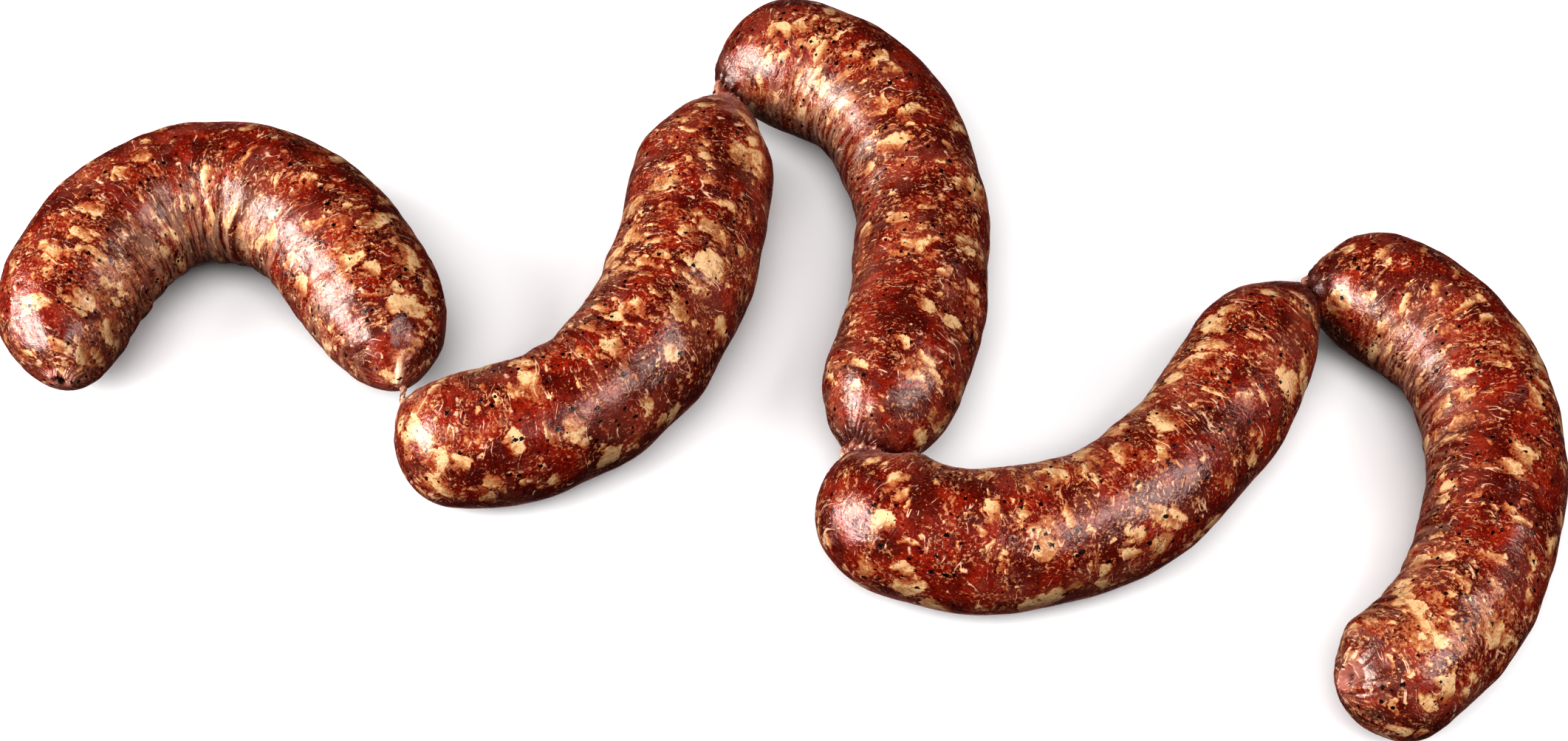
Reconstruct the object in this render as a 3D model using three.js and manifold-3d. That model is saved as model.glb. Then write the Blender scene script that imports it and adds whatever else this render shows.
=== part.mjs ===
// A string of fresh coarse-ground sausage links: one length of natural casing, filled, twisted
// off into five fat links and laid on a table in loose bends. It is one piece, so it is one solid.
// Millimetres, +Z up. The table is z = 0 and the origin is under the middle of the string.

import * as THREE from "three";
import { mergeVertices } from "three/addons/utils/BufferGeometryUtils.js";
import Module from "manifold-3d";

// Facets: sides go round a link or a twist, rings follow each other along it.
const LINK_SIDES = 20;
const LINK_RINGS = 44;
const TWIST_SIDES = 16;
const TWIST_RINGS = 14;
const SPINE_STEPS = 120;

// A link settles a little under its own weight, which gives it a flat strip to rest on.
const SETTLE = 0.5;

// Ring spacing: 0 is even, 1 packs the rings at a link's two ends.
const RING_BUNCHING = 0.72;

// How sharply the tip of a link's dome is pulled aside, towards the twist that holds it.
const DRIFT_POWER = 3;

// Low relief of the filling under the casing: soft swellings, and pleats at the gathered ends.
// Swellings are waves along a link, which have up to three crests round it as well. A pleat stays
// below a share of the radius. All relief fades out round the underside, which lies flat.
const SWELL_HEIGHT = 0.42;
const SWELL_WAVES = 6;
const SWELL_LONGEST = 46;
const SWELL_SHORTEST = 13;
const SWELL_CRESTS_ROUND = 3;
const PLEAT_DEPTH = 0.35;
const PLEAT_REACH = 6;
const PLEAT_LIMIT = 0.12;
const UNDERSIDE_FADE = 1.3;

// A bend gathers the casing on its inner side into a few broad folds. Their height is given for a
// bend of 1 mm radius. The bend is measured over a short share of the link's length either way.
const FOLD_HEIGHT = 16;
const FOLD_SPACING = 11;
const BEND_SAMPLE = 0.02;

// The knot of gathered casing at the two free ends of the string.
const KNOT_RADIUS = 3.0;
const KNOT_HEIGHT = 1.0;

// The links in order. Each lies along a spine on the table, seen from above: start is its first
// point and length its length, and headings are its directions at equal steps, in degrees from
// +X. Radii are the link's thickness at equal steps. An end is a dome: reach is its length,
// fullness how blunt it is (2 is an ellipse), and drift how far its tip lies off the spine, to
// the left and up. The string's two free ends close in a knot. Seed sets a link's swellings.
const LINKS = [
  {
    seed: 1142,
    start: [-176.4, -13.0],
    length: 159.1,
    headings: [81, 73, 48, -5, -47, -62, -78],
    radii: [18.9, 18.1, 17.6, 17.6, 17.5],
    first: { reach: 39.2, fullness: 2.15, drift: [-6.8, 2.2], knotted: true },
    last: { reach: 33.7, fullness: 1.96, drift: [-1.5, 1.7], knotted: false },
  },
  {
    seed: 770,
    start: [-89.3, -28.5],
    length: 145.3,
    headings: [-5, 12, 39, 64, 77, 87, 102],
    radii: [16.1, 17.0, 17.8, 18.0, 18.2],
    first: { reach: 20.6, fullness: 2.22, drift: [3.4, -0.5], knotted: false },
    last: { reach: 29.5, fullness: 2.01, drift: [-5.2, -0.2], knotted: false },
  },
  {
    seed: 1469,
    start: [-12.7, 93.8],
    length: 155.0,
    headings: [-12, -27, -62, -84, -97, -108, -119],
    radii: [17.3, 17.1, 16.6, 16.9, 17.4],
    first: { reach: 22.6, fullness: 2.05, drift: [-5.7, -1.1], knotted: false },
    last: { reach: 26.5, fullness: 2.11, drift: [0.1, 0.1], knotted: false },
  },
  {
    seed: 908,
    start: [14.4, -35.2],
    length: 158.3,
    headings: [-70, -21, 8, 34, 54, 62, 57],
    radii: [17.1, 16.9, 16.6, 16.1, 15.8],
    first: { reach: 24.4, fullness: 1.63, drift: [5.5, -0.5], knotted: false },
    last: { reach: 26.1, fullness: 1.6, drift: [-3.4, 0], knotted: false },
  },
  {
    seed: 641,
    start: [136.1, 25.0],
    length: 154.0,
    headings: [-38, -41, -76, -98, -113, -134, -157],
    radii: [16.3, 16.2, 16.3, 15.9, 15.2],
    first: { reach: 21.0, fullness: 2.22, drift: [-3.0, -0.5], knotted: false },
    last: { reach: 15.1, fullness: 1.82, drift: [-1.9, 1.3], knotted: true },
  },
];

// The twists between one link and the next, as four points each: inside one link, where the twist
// leaves it, where it enters the next, and inside that. Waist is the radius at the thinnest
// place, flare the radius where it spreads out inside a link, and turns the winding of the ribs.
const TWISTS = [
  {
    path: [[-90.0, -5.5, 17.5], [-87.9, -13.2, 17.0],
      [-87.0, -19.0, 16.5], [-80.5, -25.0, 16.0]],
    waist: 0.85,
    flare: 3.4,
    turns: 0.6,
  },
  {
    path: [[-11.8, 64.5, 17.0], [-11.4, 76.4, 17.0],
      [-8.8, 84.0, 17.0], [-0.5, 86.0, 16.5]],
    waist: 3.7,
    flare: 6.6,
    turns: 0.35,
  },
  {
    path: [[27.0, -18.5, 17.0], [23.3, -29.5, 16.5],
      [23.0, -34.5, 16.5], [24.3, -45.0, 16.0]],
    waist: 6.3,
    flare: 8.2,
    turns: 0.3,
  },
  {
    path: [[125.5, 5.5, 17.0], [130.5, 13.7, 17.0],
      [134.9, 17.6, 17.0], [143.5, 15.5, 16.5]],
    waist: 3.5,
    flare: 5.6,
    turns: 0.45,
  },
];
const FLARE_POWER = 4;
const TWIST_RIBS = 4;
const RIB_HEIGHT = 0.13;

// The finish of the moist casing over red meat.
const CASING = { color: 0x84301f, roughness: 0.34, metalness: 0 };

const radians = THREE.MathUtils.degToRad;
const clamp = THREE.MathUtils.clamp;

// A smooth curve through values at equal steps, read at t from 0 to 1.
function curveThrough(values, t) {
  const last = values.length - 1;
  const x = clamp(t, 0, 1) * last;
  const i = Math.min(Math.floor(x), last - 1);
  const f = x - i;
  const before = i > 0 ? values[i - 1] : 2 * values[0] - values[1];
  const after = i < last - 1 ? values[i + 2] : 2 * values[last] - values[last - 1];
  const [a, b] = [values[i], values[i + 1]];
  const square = 2 * before - 5 * a + 4 * b - after;
  const cube = 3 * a - before - 3 * b + after;
  return 0.5 * (2 * a + (b - before) * f + square * f ** 2 + cube * f ** 3);
}

// Repeatable values from 0 to 1.
function seededRandom(seed) {
  let state = seed;
  return () => {
    state = (state * 1664525 + 1013904223) % 4294967296;
    return state / 4294967296;
  };
}

// The points of a link's spine at equal steps along it.
function walkSpine({ start, length, headings }) {
  const points = [new THREE.Vector2(...start)];
  for (let i = 0; i < SPINE_STEPS; i++) {
    const heading = radians(curveThrough(headings, (i + 0.5) / SPINE_STEPS));
    const step = new THREE.Vector2(Math.cos(heading), Math.sin(heading));
    points.push(points[i].clone().addScaledVector(step, length / SPINE_STEPS));
  }
  return points;
}

// The share of its full radius that a dome has at a distance from its tip.
function domeShare({ reach, fullness }, distance) {
  const inward = clamp(distance / reach, 0, 1);
  return (1 - (1 - inward) ** fullness) ** (1 / fullness);
}

// How strongly an end's tip still pulls the spine aside at a distance from it, from 1 to 0.
function driftShare({ reach }, distance) {
  return (1 - clamp(distance / reach, 0, 1)) ** DRIFT_POWER;
}

// A free end's dome closes in a small round knot.
function knotShape({ knotted }, radius, distance) {
  if (!knotted || distance > KNOT_HEIGHT) return radius;
  return Math.min(radius, KNOT_RADIUS * Math.sqrt(1 - (1 - distance / KNOT_HEIGHT) ** 2));
}

// A link's section at a distance along its spine: centre, radius, and the way to its left.
function sectionOf(link, spine, along) {
  const t = along / link.length;
  const beyond = link.length - along;
  const heading = radians(curveThrough(link.headings, t));
  const left = new THREE.Vector3(-Math.sin(heading), Math.cos(heading), 0);
  const body = curveThrough(link.radii, t);
  const i = Math.min(Math.floor(t * SPINE_STEPS), SPINE_STEPS - 1);
  const place = spine[i].clone().lerp(spine[i + 1], t * SPINE_STEPS - i);
  const [first, last] = [driftShare(link.first, along), driftShare(link.last, beyond)];
  const sideways = link.first.drift[0] * first + link.last.drift[0] * last;
  const upwards = link.first.drift[1] * first + link.last.drift[1] * last;
  const centre = new THREE.Vector3(place.x, place.y, body - SETTLE + upwards);
  centre.addScaledVector(left, sideways);
  let radius = body * domeShare(link.first, along) * domeShare(link.last, beyond);
  radius = knotShape(link.first, radius, along);
  radius = knotShape(link.last, radius, beyond);
  return { centre, left, radius };
}

// The soft swellings of one link: a sum of slow waves along and round it.
function swellingOf(seed) {
  const random = seededRandom(seed);
  const waves = Array.from({ length: SWELL_WAVES }, (_, k) => ({
    spacing: SWELL_SHORTEST + (SWELL_LONGEST - SWELL_SHORTEST) * random(),
    around: k % (SWELL_CRESTS_ROUND + 1),
    phase: 2 * Math.PI * random(),
  }));
  return (along, angle) =>
    waves.reduce((sum, { spacing, around, phase }) => {
      return sum + Math.sin((2 * Math.PI * along) / spacing + around * angle + phase);
    }, 0) * (SWELL_HEIGHT / Math.sqrt(SWELL_WAVES));
}

// How sharply a link's spine bends at a distance along it, in radians per millimetre.
function bendOf({ headings, length }, along) {
  const t = along / length;
  const turn =
    curveThrough(headings, t + BEND_SAMPLE) - curveThrough(headings, t - BEND_SAMPLE);
  return radians(turn) / (2 * BEND_SAMPLE * length);
}

// How far the surface stands off the plain section.
function reliefOf(link, swelling, along, angle, radius, side) {
  const beyond = link.length - along;
  const domes = Math.min(domeShare(link.first, along), domeShare(link.last, beyond));
  const bend = bendOf(link, along);
  const inner = Math.max(0, Math.sign(bend) * Math.cos(angle)) ** 2;
  const fold = FOLD_HEIGHT * Math.abs(bend) * Math.cos((2 * Math.PI * along) / FOLD_SPACING);
  let relief = (swelling(along, angle) + fold * inner) * domes;
  for (const distance of [along, beyond]) {
    const pleat = PLEAT_DEPTH * Math.exp(-distance / PLEAT_REACH) * (side % 2 ? 1 : -1);
    relief += clamp(pleat, -PLEAT_LIMIT * radius, PLEAT_LIMIT * radius);
  }
  return relief * clamp(UNDERSIDE_FADE * (1 + Math.sin(angle)), 0, 1);
}

// A closed surface through rings of points, with a point at each end.
function loft(rings, head, tail) {
  const sides = rings[0].length;
  const points = [head, ...rings.flat(), tail];
  const faces = [];
  const at = (ring, side) => 1 + ring * sides + (side % sides);
  for (let side = 0; side < sides; side++) {
    faces.push(0, at(0, side + 1), at(0, side));
    faces.push(points.length - 1, at(rings.length - 1, side), at(rings.length - 1, side + 1));
    for (let ring = 0; ring < rings.length - 1; ring++) {
      const [a, b] = [at(ring, side), at(ring, side + 1)];
      const [c, d] = [at(ring + 1, side + 1), at(ring + 1, side)];
      faces.push(a, b, c, a, c, d);
    }
  }
  const geometry = new THREE.BufferGeometry().setFromPoints(points);
  return geometry.setIndex(faces);
}

function linkGeometry(link) {
  const spine = walkSpine(link);
  const swelling = swellingOf(link.seed);
  const rings = [];
  for (let i = 1; i < LINK_RINGS; i++) {
    const u = i / LINK_RINGS;
    const wave = Math.sin(2 * Math.PI * u) / (2 * Math.PI);
    const along = link.length * (u - RING_BUNCHING * wave);
    const { centre, left, radius } = sectionOf(link, spine, along);
    const ring = [];
    for (let side = 0; side < LINK_SIDES; side++) {
      const angle = ((side + 0.5) / LINK_SIDES) * 2 * Math.PI;
      const out = radius + reliefOf(link, swelling, along, angle, radius, side);
      const point = centre.clone().addScaledVector(left, out * Math.cos(angle));
      point.z = Math.max(point.z + out * Math.sin(angle), 0);
      ring.push(point);
    }
    rings.push(ring);
  }
  const head = sectionOf(link, spine, 0).centre;
  const tail = sectionOf(link, spine, link.length).centre;
  return loft(rings, head, tail);
}

// The width of a twist above its waist, at a share u of its length: 1 where it is widest.
function flareShare(u) {
  const outward = Math.abs(2 * u - 1);
  const widest = FLARE_POWER / (FLARE_POWER + 1);
  return (outward / widest) ** FLARE_POWER * ((1 - outward) / (1 - widest));
}

function twistGeometry({ path: points, waist, flare, turns }) {
  const path = new THREE.CatmullRomCurve3(points.map((point) => new THREE.Vector3(...point)));
  const frames = path.computeFrenetFrames(TWIST_RINGS, false);
  const rings = [];
  for (let i = 1; i < TWIST_RINGS; i++) {
    const u = i / TWIST_RINGS;
    const width = waist + (flare - waist) * flareShare(u);
    const centre = path.getPointAt(u);
    const ring = [];
    for (let side = 0; side < TWIST_SIDES; side++) {
      const angle = (side / TWIST_SIDES) * 2 * Math.PI;
      const rib = Math.cos(TWIST_RIBS * (angle + turns * 2 * Math.PI * u));
      const out = width * (1 + RIB_HEIGHT * rib);
      const point = centre.clone().addScaledVector(frames.normals[i], out * Math.cos(angle));
      ring.push(point.addScaledVector(frames.binormals[i], out * Math.sin(angle)));
    }
    rings.push(ring);
  }
  return loft(rings, path.getPointAt(0), path.getPointAt(1));
}

const wasm = await Module();
wasm.setup();

function solidOf(geometry) {
  const merged = mergeVertices(geometry);
  const solid = new wasm.Manifold(
    new wasm.Mesh({
      numProp: 3,
      vertProperties: merged.attributes.position.array,
      triVerts: new Uint32Array(merged.index.array),
    }),
  );
  return solid;
}

function geometryOf(solid) {
  const { numProp, vertProperties, triVerts } = solid.getMesh();
  const points = [];
  for (let i = 0; i < vertProperties.length; i += numProp) {
    points.push(new THREE.Vector3(...vertProperties.subarray(i, i + 3)));
  }
  return new THREE.BufferGeometry().setFromPoints(points).setIndex([...triVerts]);
}

// All links and twists, joined into the one length of casing and centred over the origin.
function stringGeometry() {
  const pieces = [
    ...LINKS.map(linkGeometry),
    ...TWISTS.map(twistGeometry),
  ];
  const string = pieces.map(solidOf).reduce((whole, piece) => whole.add(piece));
  const geometry = geometryOf(string);
  geometry.computeBoundingBox();
  const middle = geometry.boundingBox.getCenter(new THREE.Vector3());
  geometry.translate(-middle.x, -middle.y, 0);
  geometry.computeVertexNormals();
  return geometry;
}

const sausageString = new THREE.Group();
const mesh = new THREE.Mesh(stringGeometry(), new THREE.MeshStandardMaterial(CASING));
mesh.name = "sausage_string";
sausageString.add(mesh);

export default sausageString;
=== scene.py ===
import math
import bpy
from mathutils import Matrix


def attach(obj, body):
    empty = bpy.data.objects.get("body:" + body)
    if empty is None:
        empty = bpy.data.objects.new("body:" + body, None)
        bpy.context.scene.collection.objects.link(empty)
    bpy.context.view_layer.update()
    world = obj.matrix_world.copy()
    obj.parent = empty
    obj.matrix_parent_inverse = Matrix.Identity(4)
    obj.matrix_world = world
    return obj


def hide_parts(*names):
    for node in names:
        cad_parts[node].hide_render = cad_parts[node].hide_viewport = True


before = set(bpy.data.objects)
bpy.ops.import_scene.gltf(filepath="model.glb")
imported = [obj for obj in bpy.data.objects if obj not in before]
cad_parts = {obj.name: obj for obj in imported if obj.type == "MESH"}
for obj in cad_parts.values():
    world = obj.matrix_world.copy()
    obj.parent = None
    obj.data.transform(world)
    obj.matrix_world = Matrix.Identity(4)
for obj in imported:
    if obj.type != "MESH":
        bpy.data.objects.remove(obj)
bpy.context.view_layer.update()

# A string of five fresh coarse-ground sausage links, twisted off from one length of casing and
# laid on a table in loose bends. Lengths are in millimetres up to the meshes, which are in metres,
# as are the table, the lamps and the bumps.

from types import SimpleNamespace

import bpy
import numpy as np
from mathutils import Vector
from mathutils.bvhtree import BVHTree

MM = 0.001

# Mesh density: sides go round a link or a twist, rings follow each other along it.
LINK_SIDES = 216
LINK_RINGS = 360
TWIST_SIDES = 120
TWIST_RINGS = 150
SPINE_STEPS = 120
FINE_STEPS = 4000
PATH_STEPS = 400

# A link settles a little under its own weight, which gives it a flat strip to rest on.
SETTLE = 0.5

# How sharply the tip of a link's dome is pulled aside, towards the twist that holds it.
DRIFT_POWER = 3

# The solid's relief, which the links here keep: soft swellings, and broad folds at inner bends,
# whose heights are given link by link for a bend of one radian in a millimetre. Relief fades out
# towards the underside.
SWELL_HEIGHT = 0.42
SWELL_WAVES = 6
SWELL_LONGEST = 46
SWELL_SHORTEST = 13
SWELL_CRESTS_ROUND = 3
UNDERSIDE_FADE = 1.3
FOLD_HEIGHTS = (16, 5, 6, 4, 7)
FOLD_SPACING = 11
BEND_SAMPLE = 0.02

# The links in order, as in the solid. Each lies along a spine seen from above: start is its first
# point, length its length, headings its directions at equal steps in degrees from +X, and radii
# its thickness at equal steps. An end is a dome: reach is its length, fullness how blunt it is,
# and drift how far its tip lies off the spine, to the left and up.
LINKS = [
    {
        "seed": 1142,
        "start": (-176.4, -13.0),
        "length": 159.1,
        "headings": (81, 73, 48, -5, -47, -62, -78),
        "radii": (18.9, 18.1, 17.6, 17.6, 17.5),
        "first": {"reach": 39.2, "fullness": 2.15, "drift": (-6.8, 2.2)},
        "last": {"reach": 33.7, "fullness": 1.96, "drift": (-1.5, 1.7)},
    },
    {
        "seed": 770,
        "start": (-89.3, -28.5),
        "length": 145.3,
        "headings": (-5, 12, 39, 64, 77, 87, 102),
        "radii": (16.1, 17.0, 17.8, 18.0, 18.2),
        "first": {"reach": 20.6, "fullness": 2.22, "drift": (3.4, -0.5)},
        "last": {"reach": 29.5, "fullness": 2.01, "drift": (-5.2, -0.2)},
    },
    {
        "seed": 1469,
        "start": (-12.7, 93.8),
        "length": 155.0,
        "headings": (-12, -27, -62, -84, -97, -108, -119),
        "radii": (17.3, 17.1, 16.6, 16.9, 17.4),
        "first": {"reach": 22.6, "fullness": 2.05, "drift": (-5.7, -1.1)},
        "last": {"reach": 26.5, "fullness": 2.11, "drift": (0.1, 0.1)},
    },
    {
        "seed": 908,
        "start": (14.4, -35.2),
        "length": 158.3,
        "headings": (-70, -21, 8, 34, 54, 62, 57),
        "radii": (17.1, 16.9, 16.6, 16.1, 15.8),
        "first": {"reach": 24.4, "fullness": 1.63, "drift": (5.5, -0.5)},
        "last": {"reach": 26.1, "fullness": 1.6, "drift": (-3.4, 0)},
    },
    {
        "seed": 641,
        "start": (136.1, 25.0),
        "length": 154.0,
        "headings": (-38, -41, -76, -98, -113, -134, -157),
        "radii": (16.3, 16.2, 16.3, 15.9, 15.2),
        "first": {"reach": 21.0, "fullness": 2.22, "drift": (-3.0, -0.5)},
        "last": {"reach": 15.1, "fullness": 1.82, "drift": (-1.9, 1.3)},
    },
]

# The twists between the links, as in the solid: four points each, inside one link, where the
# twist leaves it, where it enters the next, and inside that. Waist is the radius at the thinnest
# place, flare the radius where it spreads out inside a link, and turns the winding of its pleats.
# The rest is this scene's own: how many pleats run round it, ruffle their depth as a share of the
# radius, fillet how near a link it starts to widen into it, and how bare the casing is and how
# much painted shade darkens it where they meet, as membrane and shade, from 0 to 1.
TWISTS = [
    {
        "path": ((-90.0, -5.5, 17.5), (-87.9, -13.2, 17), (-87.0, -19.0, 16.5), (-80.5, -25.0, 16)),
        "waist": 0.85,
        "flare": 3.4,
        "turns": 0.6,
        "pleats": 7,
        "ruffle": 0.12,
        "fillet": 6.0,
        "membrane": 1.0,
        "shade": 0.0,
    },
    {
        "path": ((-11.8, 64.5, 17), (-11.4, 76.4, 17), (-8.8, 84.0, 17), (-0.5, 86.0, 16.5)),
        "waist": 3.7,
        "flare": 6.6,
        "turns": 0.35,
        "pleats": 12,
        "ruffle": 0.3,
        "fillet": 4.0,
        "membrane": 0.55,
        "shade": 0.6,
    },
    {
        "path": ((27.0, -18.5, 17), (23.3, -29.5, 16.5), (23.0, -34.5, 16.5), (24.3, -45, 16)),
        "waist": 6.3,
        "flare": 8.2,
        "turns": 0.3,
        "pleats": 17,
        "ruffle": 0.13,
        "fillet": 4.0,
        "membrane": 0.25,
        "shade": 0.6,
    },
    {
        "path": ((125.5, 5.5, 17), (130.5, 13.7, 17.0), (134.9, 17.6, 17), (143.5, 15.5, 16.5)),
        "waist": 3.5,
        "flare": 5.6,
        "turns": 0.45,
        "pleats": 12,
        "ruffle": 0.3,
        "fillet": 4.0,
        "membrane": 0.6,
        "shade": 0.6,
    },
]
FLARE_POWER = 4

# How far the whole string moves so that the middle of its box is over the origin, as in the solid.
RECENTRE = (0.265, 0.481)

# What the casing does at the first and the last end of each link. Pleat is the depth of the radial
# pleats, and membrane how much the bare casing shows. Ridge is the height of one sharp fold and the
# angle round the link where it runs. Hole is the depth and radius of a free end's puckered hole,
# offset how far from the tip it lies, and lobe the angle where its rim stands out furthest.
PLAIN = {"ridge": None, "hole": None, "offset": (0, 0, 0), "lobe": 0}
HOLLOW_END = {"hole": (2.2, 1.15), "offset": (0, 0, 0), "lobe": 100}
KNOTTED_END = {"hole": (1.4, 1.15), "offset": (0.8, 1.1, 5.6), "lobe": 60}
ENDS = [
    (
        {**PLAIN, **HOLLOW_END, "pleat": 0.4, "membrane": 0.6},
        {**PLAIN, "pleat": 0.3, "membrane": 0.3, "ridge": (0.8, 72)},
    ),
    ({**PLAIN, "pleat": 0.25, "membrane": 0.3}, {**PLAIN, "pleat": 0.45, "membrane": 0.25}),
    ({**PLAIN, "pleat": 0.35, "membrane": 0.35}, {**PLAIN, "pleat": 0.4, "membrane": 0.25}),
    ({**PLAIN, "pleat": 0.3, "membrane": 0.15}, {**PLAIN, "pleat": 0.5, "membrane": 0.35}),
    (
        {**PLAIN, "pleat": 0.35, "membrane": 0.4},
        {**PLAIN, **KNOTTED_END, "pleat": 0.45, "membrane": 0.8},
    ),
]

# The radial pleats of an end: how far from the tip they fade, how long and how close together
# they are, how narrow and deep their creases are, and how many puckers there are to a pleat.
PLEAT_REACH = 6.5
PLEAT_RUN = 9
PLEATS_ROUND = 3.4
PLEAT_CREASE = 0.3
PLEAT_DEPTH = 1.4
PUCKERS_PER_PLEAT = 1.7
PLEAT_MARK = 1.6

# How near the tip, on the pleats' own scale, bare casing starts and how soon it is full.
BARE_FROM = 0.3
BARE_RANGE = 0.5

# The sharp fold beside the first twist.
RIDGE_LENGTH = 8.5
RIDGE_WIDTH = 0.75
RIDGE_TAPER = 0.7
RIDGE_WANDER = 0.5
RIDGE_WANDER_SIZE = 3
RIDGE_MARK = 14

# The rim of a free end's hole: its height, and its radius and width in hole radii. It lies wider
# and higher at its lobe, and is uneven all round.
# The hole's depth at which the painted shade in it is full.
DEEPEST_HOLE = 2.2
RIM_HEIGHT = 1.3
RIM_RADIUS = 2.0
RIM_WIDTH = 0.65
RIM_AT_LOBE = 0.25
RIM_WANDER = 0.4
RIM_WANDER_SIZE = 2.2
RIM_EVEN_RISE = 0.7
RIM_LOBE_RISE = 0.4
RIM_LUMP_RISE = 0.9
RIM_LUMP_SIZE = 1.5

# Lumps of the filling under the casing: size across and height, and how lumpy each link is.
LUMPS = ((8.5, 0.62), (3.6, 0.22), (1.7, 0.05))
LUMPINESS = (1.5, 0.9, 1.0, 0.7, 1.2)

# Where fat gathers thickest under the casing of each link: distance along it, angle round it in
# degrees, and reach. It reaches less far round the link than along it.
FAT_PLACES = (
    ((24, 120, 13), (128, 100, 12)),
    ((12, 130, 7), (88, 70, 12)),
    ((30, 130, 12), (96, 100, 10)),
    ((64, 80, 14), (120, 60, 12)),
    ((52, 60, 12), (126, 80, 17)),
)
FAT_ROUND = 1.4

# Notches that the outline of the first link shows inside its bend, near its free end: distance
# along it, angle round it in degrees, depth, and half its width.
NOTCHES = {
    0: (
        (5, 172, 0.7, 1.6),
        (23, 190, 0.8, 2.2),
        (31, 190, 1.3, 1.3),
        (38, 190, 0.9, 2.2),
        (46, 190, 0.7, 2.0),
    ),
}
NOTCH_REACH = 4
NOTCH_WANDER_SIZE = 4

# Fine gathers of the casing across a link at its inner bends: their depths link by link, how far
# apart and how long they are, how they sway, and the bend at which they are full, in radians per
# millimetre.
GATHER_DEPTHS = (0.22, 0.06, 0.08, 0.05, 0.07)
GATHER_SPACING = 2.1
GATHER_RUN = 13
GATHER_CREASE = 0.34
GATHER_SWAY = 0.6
GATHER_SWAY_SIZE = 9
BEND_FULL = 0.017
BEND_MOST = 1.3

# The wound pleats of a twist: how often they change along it, and how their creases and the folds
# between them are cut.
PLEAT_CHANGES = 3
PLEAT_CHANGES_APART = 9
WOUND_CREASE = 0.35
WOUND_CREASE_DEPTH = 1.1
WOUND_FOLDS = 1.6
WOUND_FOLD_HEIGHT = 1.2

# Where a link meets a twist: how far from the tip it changes, how bare the casing gets there, and
# how many rounds work out the fillet.
JOINT_REACH = 14
JOINT_BARE = 0.5
FILLET_ROUNDS = 4

# Seeds of the noises: each link has a hundred of its own, and the twists follow later.
SEEDS_PER_LINK = 100
GATHER_SWAY_SEED = 7
GATHER_SEED = 8
NOTCH_SEED = 9
END_SEEDS = (20, 30)
TWIST_SEED = 300
TWIST_FOLD_SEED = 310

# The solid's draws: each value is the last one times a factor, plus a step, within a range.
DRAW_FACTOR = 1664525
DRAW_STEP = 1013904223
DRAW_RANGE = 4294967296

# Large odd numbers that mix the bits of a seed and a place, and the ten bits read at a time.
MIXERS = (374761393, 668265263, 2246822519)
SEED_MIXER = 3266489917
LAST_MIXER = 1274126177
TEN_BITS = 1023

# How far apart the links and twists lie in the patterns, so that no two look the same.
PATTERN_SPACING = 200

# The values that a mesh carries for its material: how far the casing is gathered and bare, how
# pale with a link's creases or a twist's pleats it is, how much painted shade darkens it in a free
# end's hole and where links and twists meet, and how rich in fat the filling under it is.
MARKS = ("gathered", "creased", "hollow", "rich")

# The photograph's camera: its height angle and distance, the point it aims at, the lens's focal
# length and the sensor's width, and the nearest and furthest that it sees, in metres.
CAMERA_ELEVATION = 55
CAMERA_DISTANCE = 745.3
CAMERA_AIM = (3.57, -8.12, 17)
CAMERA_LENS = 71.22
CAMERA_SENSOR = 36
CAMERA_NEAREST = 0.01
CAMERA_FURTHEST = 20


def curve_through(values, t):
    """A smooth curve through values at equal steps, read at t from 0 to 1."""
    values = np.asarray(values, float)
    last = len(values) - 1
    x = np.clip(t, 0, 1) * last
    i = np.minimum(x.astype(int), last - 1)
    f = x - i
    more = np.concatenate([[2 * values[0] - values[1]], values, [2 * values[-1] - values[-2]]])
    before, a, b, after = more[i], more[i + 1], more[i + 2], more[i + 3]
    square = 2 * before - 5 * a + 4 * b - after
    cube = 3 * a - before - 3 * b + after
    return 0.5 * (2 * a + (b - before) * f + square * f**2 + cube * f**3)


def repeatable(seed):
    """Repeatable values from 0 to 1, the same ones that the solid uses."""
    state = seed
    while True:
        state = (state * DRAW_FACTOR + DRAW_STEP) % DRAW_RANGE
        yield state / DRAW_RANGE


def random_slopes(corner, seed):
    """A repeatable slope for each whole-number corner of space."""
    n = np.uint32(seed) * np.uint32(SEED_MIXER)
    for axis, mixer in enumerate(MIXERS):
        n = n + corner[..., axis].astype(np.int64).astype(np.uint32) * np.uint32(mixer)
    n = (n ^ (n >> np.uint32(13))) * np.uint32(LAST_MIXER)
    n = n ^ (n >> np.uint32(16))
    parts = [(n >> np.uint32(shift)) & np.uint32(TEN_BITS) for shift in (0, 10, 20)]
    return np.stack(parts, -1) / (TEN_BITS / 2) - 1


def noise(points, seed):
    """Smooth random values between about -1 and 1, with bumps about one unit apart."""
    cell = np.floor(points)
    inner = points - cell
    ease = inner**3 * (inner * (inner * 6 - 15) + 10)
    total = np.zeros(points.shape[:-1])
    for corner in np.ndindex(2, 2, 2):
        offset = np.array(corner)
        slope = random_slopes(cell + offset, seed)
        weight = np.prod(np.where(offset == 1, ease, 1 - ease), -1)
        total += weight * ((inner - offset) * slope).sum(-1)
    return total


def creases(points, seed, width):
    """Narrow winding lines: 1 along them and 0 a little way off, where a noise passes zero."""
    return np.clip(1 - np.abs(noise(points, seed)) / width, 0, 1) ** 2


def grid_normals(points):
    """Outward normals of a grid of points, whose second axis closes on itself."""
    across = np.roll(points, -1, 1) - np.roll(points, 1, 1)
    normal = np.cross(across, np.gradient(points, axis=0))
    return normal / np.maximum(np.linalg.norm(normal, axis=-1, keepdims=True), 1e-9)


def laid_straight(along, radius, angle):
    """Places on a link laid out straight, for patterns that run smoothly along and round it."""
    return np.stack([along, radius * np.cos(angle), radius * np.sin(angle)], -1)


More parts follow.
